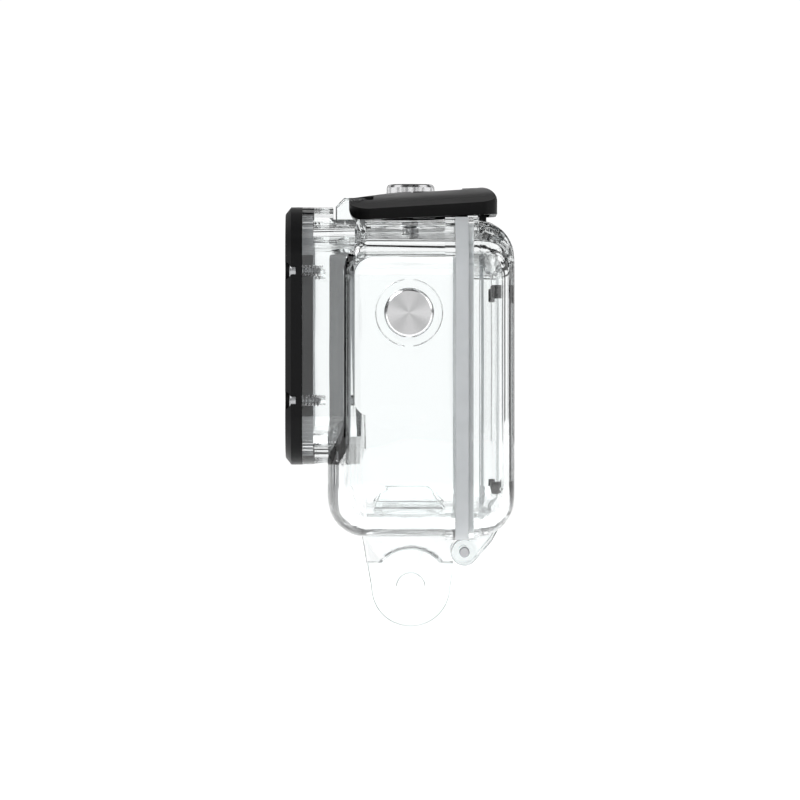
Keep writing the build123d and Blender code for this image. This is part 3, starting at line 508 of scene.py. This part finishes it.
# %% [markdown]
# The caps are lathe work: one profile turned round an axis. A spun mesh has rings that run exactly
# round the axis, which the turned finish needs, and it needs no modifier. Its sizes come from the CAD
# node's box. The hub under the cap is pressed on the stem.

# %% Spin a button cap
CAP_WALL = 0.8 * MM
CAP_CHAMFERS = ((0.28 * MM, 0.17 * MM), (0.27 * MM, 0.45 * MM))  # width and drop, from the face out
HUB = (1.5 * MM, 2.2 * MM, 0.9 * MM)  # inner radius, outer radius, depth
SPIN_STEPS = 128
TURNED_EDGE = radians(25)  # the lathe leaves an edge where the profile turns more than this


def spun(profile, steps):
    """A closed mesh from (radius, height) points that start and end on the axis."""
    soup = bmesh.new()
    rings = []
    for radius, height in profile:
        turns = steps if radius > 0 else 1
        angles = [2 * pi * k / steps for k in range(turns)]
        rings.append([soup.verts.new((radius * cos(a), radius * sin(a), height)) for a in angles])
    for lower, upper in zip(rings, rings[1:]):
        for k in range(steps):
            corners = [lower[k % len(lower)], lower[(k + 1) % len(lower)]]
            corners += [upper[(k + 1) % len(upper)], upper[k % len(upper)]]
            soup.faces.new(list(dict.fromkeys(corners)))
    bmesh.ops.recalc_face_normals(soup, faces=soup.faces)
    mesh = bpy.data.meshes.new("spun")
    soup.to_mesh(mesh)
    soup.free()
    mesh.shade_smooth()
    mesh.set_sharp_from_angle(angle=TURNED_EDGE)
    return mesh


def cap_profile(radius, top):
    """Half the section of a cap that stands on its open end, with its face at top."""
    under = top - CAP_WALL
    bore, hub, depth = HUB
    inside = [(0, under), (bore, under), (bore, under - depth), (hub, under - depth), (hub, under)]
    skirt_points = [(radius - CAP_WALL, under), (radius - CAP_WALL, 0), (radius, 0)]
    rim = [(FACE_RADIUS, top)]
    for width, drop in CAP_CHAMFERS:
        rim.insert(0, (rim[0][0] + width, rim[0][1] - drop))
    return inside + skirt_points + rim + [(FACE_RADIUS / 2, top), (0, top)]


def stand_on(mesh, centre, axis):
    """Turns a mesh that stands on the Z axis to the given axis, and moves its foot to centre."""
    turn = Matrix.Rotation(pi / 2, 4, "Y") if axis == "X" else Matrix.Identity(4)
    mesh.transform(Matrix.Translation(centre) @ turn)


# %% [markdown]
# The top button is pressed down and the side button is pressed in, so their caps stand on different
# axes.

# %% Two button caps
BUTTON_AXIS = {"shutter": "Z", "side": "X"}
for button, aluminium in (("shutter", top_aluminium), ("side", side_aluminium)):
    low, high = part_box(button + "_cap")
    along = "XYZ".index(BUTTON_AXIS[button])
    foot = (low + high) / 2
    foot[along] = low[along]
    radius = (high.y - low.y) / 2
    mesh = spun(cap_profile(radius, high[along] - low[along]), SPIN_STEPS)
    stand_on(mesh, foot, BUTTON_AXIS[button])
    cap = bpy.data.objects.new(button + "_turned_cap", mesh)
    give(cap, aluminium)
    placed(cap, button + "_button", "spun_aluminium", button + "_cap")


# %% [markdown]
# Screws and springs repeat a rule, so Geometry Nodes make them: a helix swept along with a small
# profile is a thread when the profile is a diamond, and a spring when it is a circle. A tree is built
# once with named sizes. To bake it, the tree runs on a mesh of points, and the result becomes a plain
# mesh, because an exported model can carry neither the nodes nor their instances.

# %% Geometry Nodes helpers
FORMED_EDGE = radians(32)  # a screw keeps an edge where its faces meet at more than this


def size_tree(name, sizes):
    """A tree with a geometry socket at each end and one float input for each size."""
    tree = bpy.data.node_groups.new(name, "GeometryNodeTree")
    tree.interface.new_socket("Geometry", in_out="INPUT", socket_type="NodeSocketGeometry")
    for size in sizes:
        tree.interface.new_socket(size, in_out="INPUT", socket_type="NodeSocketFloat")
    tree.interface.new_socket("Geometry", in_out="OUTPUT", socket_type="NodeSocketGeometry")
    return tree, add(tree, "NodeGroupInput").outputs


def finish_tree(tree, geometry, material):
    solid = add(tree, "GeometryNodeRealizeInstances", {"Geometry": geometry})
    painted = add(
        tree, "GeometryNodeSetMaterial", {"Geometry": solid.outputs["Geometry"], "Material": material}
    )
    add(tree, "NodeGroupOutput", {"Geometry": painted.outputs["Geometry"]})


def grown(tree, name, points, sizes):
    """Runs a tree on loose points and returns the plain mesh that it makes."""
    start = bpy.data.meshes.new(name + "_points")
    start.from_pydata(points, [], [])
    holder = bpy.data.objects.new(name + "_nodes", start)
    scene.collection.objects.link(holder)
    nodes = holder.modifiers.new("grow", "NODES")
    nodes.node_group = tree
    for item in tree.interface.items_tree:
        if item.in_out == "INPUT" and item.name in sizes:
            nodes[item.identifier] = sizes[item.name]
    plain = bpy.data.meshes.new_from_object(holder.evaluated_get(bpy.context.evaluated_depsgraph_get()))
    plain.name = name
    bpy.data.objects.remove(holder)
    plain.shade_smooth()
    plain.set_sharp_from_angle(angle=FORMED_EDGE)
    return plain


# %% [markdown]
# The eight screws are M1.8 thread-forming screws with a small hexagon socket. Their threads bite into
# the clear lens housing and show through it, which is the busiest detail of the whole case. The thread
# of the real screw stands out 0.2 mm and is drawn at 0.4 mm, so that it can be seen. Every size of the
# screw is an input of its tree.

# %% Sizes of a screw
HEAD_HEIGHT = 1.15 * MM
SCREW = {
    "Head Radius": 1.5 * MM,
    "Head Height": HEAD_HEIGHT,
    "Rim Roll": 0.16,
    "Core Radius": 0.7 * MM,
    "Thread Depth": 0.4 * MM,
    "Pitch": 0.62 * MM,
    "Length": 4.6 * MM,
    "Socket Radius": 0.75 * MM,
    "Socket Depth": 0.7 * MM,
    "Seed": 7,
}
print("screw", round((SCREW["Head Height"] + SCREW["Length"]) / MM, 2), "mm long")

# %% [markdown]
# The head is a cylinder whose upper rim is rolled in, as a cold-headed screw's is, less a hexagon. The
# roll makes each ring of the cylinder narrower by a share that grows slowly at first and then fast.

# %% Screw head
ROLL_START = 0.6  # share of the head's height where the rim begins to roll in
ROLL_POWER = 2.5


def rod(tree, radius, depth, top, vertices, side_segments=1):
    """A cylinder along Z whose upper end is at top."""
    made = add(
        tree,
        "GeometryNodeMeshCylinder",
        {"Vertices": vertices, "Side Segments": side_segments, "Radius": radius, "Depth": depth},
    )
    centre = add(tree, "ShaderNodeMath", {0: depth, 1: -0.5, 2: top}, operation="MULTIPLY_ADD").outputs[0]
    lift = add(tree, "ShaderNodeCombineXYZ", {"Z": centre})
    moved = add(
        tree,
        "GeometryNodeTransform",
        {"Geometry": made.outputs["Mesh"], "Translation": lift.outputs["Vector"]},
    )
    return moved.outputs["Geometry"]


def screw_head(tree, size):
    height = size["Head Height"]
    head = rod(tree, size["Head Radius"], height, height, 48, 8)
    place = add(tree, "GeometryNodeInputPosition").outputs["Position"]
    above_foot = add(tree, "ShaderNodeSeparateXYZ", {"Vector": place}).outputs["Z"]
    start = add(tree, "ShaderNodeMath", {0: height, 1: ROLL_START}, operation="MULTIPLY").outputs[0]
    share = add(
        tree, "ShaderNodeMapRange", {"Value": above_foot, "From Min": start, "From Max": height}
    ).outputs["Result"]
    bend = add(tree, "ShaderNodeMath", {0: share, 1: ROLL_POWER}, operation="POWER").outputs[0]
    roll = add(tree, "ShaderNodeMath", {0: bend, 1: size["Rim Roll"]}, operation="MULTIPLY").outputs[0]
    across = add(tree, "ShaderNodeMath", {0: 1.0, 1: roll}, operation="SUBTRACT").outputs[0]
    factor = add(tree, "ShaderNodeCombineXYZ", {"X": across, "Y": across, "Z": 1.0}).outputs["Vector"]
    rolled = add(tree, "ShaderNodeVectorMath", {0: place, 1: factor}, operation="MULTIPLY")
    head = add(
        tree, "GeometryNodeSetPosition", {"Geometry": head, "Position": rolled.outputs["Vector"]}
    ).outputs["Geometry"]
    above = add(tree, "ShaderNodeMath", {0: height, 1: size["Socket Depth"]}, operation="ADD").outputs[0]
    deep = add(tree, "ShaderNodeMath", {0: size["Socket Depth"], 1: 2.0}, operation="MULTIPLY").outputs[0]
    socket = rod(tree, size["Socket Radius"], deep, above, 6)
    cut = add(
        tree,
        "GeometryNodeMeshBoolean",
        {"Mesh 1": head, "Mesh 2": socket},
        operation="DIFFERENCE",
        solver="EXACT",
    )
    return cut.outputs["Mesh"]


# %% [markdown]
# The core is a cylinder, and the thread is a diamond swept along a spiral, half of which is sunk in the
# core. The spiral climbs one pitch for every turn and stops half a pitch short of both ends.

# %% Screw thread
THREAD_STEPS = 40  # to a turn


def screw_shank(tree, size):
    """The core and the thread, under the head."""
    pitch, length = size["Pitch"], size["Length"]
    core = rod(tree, size["Core Radius"], length, 0.0, 32)
    run = add(tree, "ShaderNodeMath", {0: length, 1: pitch}, operation="SUBTRACT").outputs[0]
    turns = add(tree, "ShaderNodeMath", {0: run, 1: pitch}, operation="DIVIDE").outputs[0]
    spiral = add(
        tree,
        "GeometryNodeCurveSpiral",
        {
            "Resolution": THREAD_STEPS,
            "Rotations": turns,
            "Start Radius": size["Core Radius"],
            "End Radius": size["Core Radius"],
            "Height": run,
        },
    ).outputs["Curve"]
    upright = add(tree, "GeometryNodeSetCurveNormal", {"Curve": spiral}, mode="Z_UP").outputs["Curve"]
    diamond = add(
        tree, "GeometryNodeCurvePrimitiveCircle", {"Resolution": 4, "Radius": size["Thread Depth"]}
    ).outputs["Curve"]
    thread = add(
        tree, "GeometryNodeCurveToMesh", {"Curve": upright, "Profile Curve": diamond, "Fill Caps": True}
    ).outputs["Mesh"]
    half = add(tree, "ShaderNodeMath", {0: pitch, 1: 0.5}, operation="MULTIPLY").outputs[0]
    low_end = add(tree, "ShaderNodeMath", {0: half, 1: length}, operation="SUBTRACT").outputs[0]
    drop = add(tree, "ShaderNodeCombineXYZ", {"Z": low_end})
    thread = add(
        tree, "GeometryNodeTransform", {"Geometry": thread, "Translation": drop.outputs["Vector"]}
    ).outputs["Geometry"]
    return core, thread


# %% [markdown]
# Every screw stops at a turn of its own, so each instance gets a random turn from a fixed seed. An
# instance is first laid along Y, as the screws of the window frame are, and then turned in its own
# space, because a turn in the space of the whole object would swing it away from its seat.


# %% Eight frame screws
def screw_tree():
    tree, size = size_tree("threaded_screw", SCREW)
    whole = add(tree, "GeometryNodeJoinGeometry")
    for piece in (screw_head(tree, size), *screw_shank(tree, size)):
        tree.links.new(piece, whole.inputs["Geometry"])
    spin = add(
        tree, "FunctionNodeRandomValue", {"Min": 0.0, "Max": 2 * pi, "Seed": size["Seed"]}, data_type="FLOAT"
    )
    own_turn = add(tree, "ShaderNodeCombineXYZ", {"Z": [o for o in spin.outputs if o.enabled][0]})
    spread = add(
        tree,
        "GeometryNodeInstanceOnPoints",
        {
            "Points": size["Geometry"],
            "Instance": whole.outputs["Geometry"],
            "Rotation": (pi / 2, 0, 0),
        },
    )
    turned = add(
        tree,
        "GeometryNodeRotateInstances",
        {
            "Instances": spread.outputs["Instances"],
            "Rotation": own_turn.outputs["Vector"],
            "Local Space": True,
        },
    )
    finish_tree(tree, turned.outputs["Instances"], screw_steel)
    return tree


screw_nodes = [f"frame_screw_{number}" for number in range(1, 9)]
seats = []
for node in screw_nodes:
    seat = middle(node)
    seat.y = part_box(node)[0].y + HEAD_HEIGHT
    seats.append(seat)
screws = bpy.data.objects.new("frame_screws", grown(screw_tree(), "frame_screws", seats, SCREW))
placed(screws, "shell", "screw_steel", *screw_nodes)

# %% [markdown]
# Each button has a compression spring wound from 0.4 mm wire. Its end turns lie close together and the
# turns between them are open, so the height along the wire is a steady climb of one wire for every
# turn, with the rest of the length given to the middle.

# %% Wind a spring
WIRE = 0.2 * MM  # radius
COIL_RADIUS = 2.75 * MM
DEAD_TURNS = 0.75  # at each end
CLOSED_PITCH = 2.05  # wire radii that one dead turn climbs, a little more than the wire is thick
COIL_STEPS = 40.0  # to a turn
COIL_SIZES = ("Coil Radius", "Wire", "Turns", "Length", "Dead Turns")


def coil_tree():
    tree, size = size_tree("compression_spring", COIL_SIZES)
    line = add(tree, "GeometryNodeCurvePrimitiveLine", {"End": (0, 0, 1)}).outputs["Curve"]
    wire, turns = size["Wire"], size["Turns"]
    count = add(tree, "ShaderNodeMath", {0: turns, 1: COIL_STEPS}, operation="MULTIPLY").outputs[0]
    fine = add(tree, "GeometryNodeResampleCurve", {"Curve": line, "Count": count}).outputs["Curve"]
    share = add(tree, "GeometryNodeSplineParameter").outputs["Factor"]
    turned = add(tree, "ShaderNodeMath", {0: share, 1: turns}, operation="MULTIPLY").outputs[0]
    angle = add(tree, "ShaderNodeMath", {0: turned, 1: 2 * pi}, operation="MULTIPLY").outputs[0]
    across = add(tree, "ShaderNodeMath", {0: angle}, operation="COSINE").outputs[0]
    along = add(tree, "ShaderNodeMath", {0: angle}, operation="SINE").outputs[0]
    circle = add(tree, "ShaderNodeCombineXYZ", {"X": across, "Y": along}).outputs["Vector"]
    flat = add(
        tree, "ShaderNodeVectorMath", {0: circle, "Scale": size["Coil Radius"]}, operation="SCALE"
    ).outputs["Vector"]

    climb = add(tree, "ShaderNodeMath", {0: wire, 1: CLOSED_PITCH}, operation="MULTIPLY").outputs[0]
    stack = add(tree, "ShaderNodeMath", {0: climb, 1: turns}, operation="MULTIPLY").outputs[0]
    dead = add(tree, "ShaderNodeMath", {0: size["Dead Turns"], 1: turns}, operation="DIVIDE").outputs[0]
    last = add(tree, "ShaderNodeMath", {0: 1.0, 1: dead}, operation="SUBTRACT").outputs[0]
    open_share = add(
        tree, "ShaderNodeMapRange", {"Value": share, "From Min": dead, "From Max": last}
    ).outputs["Result"]
    ends = add(tree, "ShaderNodeMath", {0: wire, 1: 2.0, 2: stack}, operation="MULTIPLY_ADD").outputs[0]
    spare = add(tree, "ShaderNodeMath", {0: size["Length"], 1: ends}, operation="SUBTRACT").outputs[0]
    steady = add(tree, "ShaderNodeMath", {0: share, 1: stack, 2: wire}, operation="MULTIPLY_ADD").outputs[0]
    height = add(
        tree, "ShaderNodeMath", {0: open_share, 1: spare, 2: steady}, operation="MULTIPLY_ADD"
    ).outputs[0]
    rise = add(tree, "ShaderNodeCombineXYZ", {"Z": height}).outputs["Vector"]
    place = add(tree, "ShaderNodeVectorMath", {0: flat, 1: rise}, operation="ADD").outputs["Vector"]

    helix = add(tree, "GeometryNodeSetPosition", {"Geometry": fine, "Position": place}).outputs["Geometry"]
    section = add(
        tree, "GeometryNodeCurvePrimitiveCircle", {"Resolution": 12, "Radius": wire}
    ).outputs["Curve"]
    coil = add(
        tree, "GeometryNodeCurveToMesh", {"Curve": helix, "Profile Curve": section, "Fill Caps": True}
    ).outputs["Mesh"]
    finish_tree(tree, coil, rod_steel)
    return tree


# %% [markdown]
# The top button's spring is the longer one, so it has more turns.

# %% Two springs
spring_tree = coil_tree()
for button, turns in (("shutter", 5.0), ("side", 3.25)):
    axis = BUTTON_AXIS[button]
    along = "XYZ".index(axis)
    low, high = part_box(button + "_spring")
    length = high[along] - low[along]
    values = (COIL_RADIUS, WIRE, turns, length, DEAD_TURNS)
    mesh = grown(spring_tree, button + "_coil", [(0, 0, 0)], dict(zip(COIL_SIZES, values)))
    foot = middle(button + "_cap")
    foot[along] = low[along]
    stand_on(mesh, foot, axis)
    spring = bpy.data.objects.new(button + "_coil", mesh)
    placed(spring, "shell", "spring_steel", button + "_spring")
    direction = Vector([k == along for k in range(3)])
    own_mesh(spring)


# %% [markdown]
# Clear plastic is lit by what is around it. In an all-white room it would vanish, so the room is white
# with black flags in it: narrow upright ones all round, and narrow rings overhead. The roundings bend
# their dark into thin lines that draw the shape, while flat walls look straight through to white. A
# world shader is the simplest way to hang flags that are far away and cast no shadow. They leave the
# main directions and the diagonals free, so that from there nothing black stands behind the case.

# %% White room with black flags
ROOM_LIGHT = 1.05
ROOM_WHITE = (1, 1, 1, 1)
FLAG_BLACK = (0.01, 0.01, 0.01, 1)
FLAGS = ((14, 24), (34, 40), (58, 66))  # degrees round from the X axis, mirrored in each quarter
RINGS = ((12, 17), (28, 40), (56, 64))  # degrees over the horizon

world = bpy.data.worlds.new("studio")
scene.world = world
world.use_nodes = True
tree = world.node_tree
direction = add(tree, "ShaderNodeTexCoord").outputs["Generated"]
folded = add(tree, "ShaderNodeVectorMath", {0: direction}, operation="ABSOLUTE").outputs["Vector"]
apart = add(tree, "ShaderNodeSeparateXYZ", {"Vector": folded}).outputs
turn = add(tree, "ShaderNodeMath", {0: apart["Y"], 1: apart["X"]}, operation="ARCTAN2").outputs[0]
round_share = add(tree, "ShaderNodeMapRange", {"Value": turn, "From Max": pi / 2}).outputs["Result"]
flag_shares = [(start / 90, end / 90) for start, end in FLAGS]
ring_shares = [(sin(radians(start)), sin(radians(end))) for start, end in RINGS]
layers = []
for share, stripes in ((round_share, flag_shares), (apart["Z"], ring_shares)):
    striped = add(tree, "ShaderNodeValToRGB", {"Fac": share})
    ramp = striped.color_ramp
    ramp.interpolation = "CONSTANT"
    ramp.elements.remove(ramp.elements[1])
    ramp.elements[0].color = ROOM_WHITE
    for start, end in stripes:
        ramp.elements.new(start).color = FLAG_BLACK
        ramp.elements.new(end).color = ROOM_WHITE
    layers.append(striped.outputs["Color"])
seen = add(tree, "ShaderNodeVectorMath", {0: layers[0], 1: layers[1]}, operation="MULTIPLY").outputs[0]
tree.links.new(seen, tree.nodes["Background"].inputs["Color"])
tree.nodes["Background"].inputs["Strength"].default_value = ROOM_LIGHT
scene.view_settings.view_transform = "Standard"
print(4 * len(FLAGS), "flags,", len(RINGS), "rings")

# %% [markdown]
# A wall seen end on is a light guide: a ray is thrown from side to side many times before it gets out.
# With few bounces allowed such a ray ends in the dark, and the wall looks smoky instead of clear.

# %% Enough bounces for clear walls
scene.cycles.max_bounces = 32
scene.cycles.glossy_bounces = 24
scene.cycles.transmission_bounces = 32
print("bounces", scene.cycles.max_bounces)

# %% [markdown]
# The floor is a sweep of white paper. A little light of its own keeps it as white as the room, so that
# its far edge doesn't show.

# %% Floor
FLOOR = 6.0  # from the middle to an edge
FLOOR_GLOW = 0.6
floor_paper, tree, shader = new_material(
    "white_studio_paper", Base_Color=hex_colour("fafafa"), Roughness=0.9, Specular_IOR_Level=0.1
)
fibre = add(
    tree,
    "ShaderNodeTexNoise",
    {"Vector": add(tree, "ShaderNodeTexCoord").outputs["Object"], "Scale": 1 / (2 * MM), "Detail": 2.0},
)
paper_tone = add(tree, "ShaderNodeValToRGB", {"Fac": fibre.outputs["Fac"]})
paper_tone.color_ramp.elements[0].color = hex_colour("f8f8f8")
paper_tone.color_ramp.elements[1].color = hex_colour("fdfdfd")
tree.links.new(paper_tone.outputs["Color"], shader.inputs["Base Color"])
shader.inputs["Emission Color"].default_value = (1, 1, 1, 1)
shader.inputs["Emission Strength"].default_value = FLOOR_GLOW
floor_level = cad_low.z - 0.02 * MM
mesh = bpy.data.meshes.new("floor")
floor_corners = [(x, y, floor_level) for x, y in ((-1, -1), (1, -1), (1, 1), (-1, 1))]
mesh.from_pydata([(x * FLOOR, y * FLOOR, z) for x, y, z in floor_corners], [], [range(4)])
mesh.materials.append(floor_paper)
floor = bpy.data.objects.new("floor", mesh)
scene.collection.objects.link(floor)
floor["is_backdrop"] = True
print("floor at", round(floor_level / MM, 2), "mm")

# %% [markdown]
# The room lights the clear plastic, but black plastic and metal want a clear direction of light as
# well. Two soft boxes give it: a key light over the front, and a weaker fill over the door.


# %% Soft light
def softbox(name, place, aim, size, power):
    lamp = bpy.data.lights.new(name, "AREA")
    lamp.shape, lamp.size, lamp.size_y, lamp.energy = "RECTANGLE", size[0], size[1], power
    obj = bpy.data.objects.new(name, lamp)
    scene.collection.objects.link(obj)
    obj.location = place
    obj.rotation_euler = (Vector(aim) - Vector(place)).to_track_quat("-Z", "Y").to_euler()


centre = (cad_low + cad_high) / 2
softbox("key", (0.5, -0.5, 0.7), centre, (0.5, 0.35), 4)
softbox("fill", (0.4, 0.7, 0.4), centre, (0.6, 0.4), 2)
print("lights aim at", [round(x / MM, 1) for x in centre], "mm")

# %% [markdown]
# The visual model has to fill the same space as the CAD model, because the joints, mounts and
# collision shapes belong to the CAD one. Both boxes are printed.

# %% Measure and finish
low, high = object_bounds()
print("visual box", [round(v / MM, 1) for v in (high - low)], "mm")
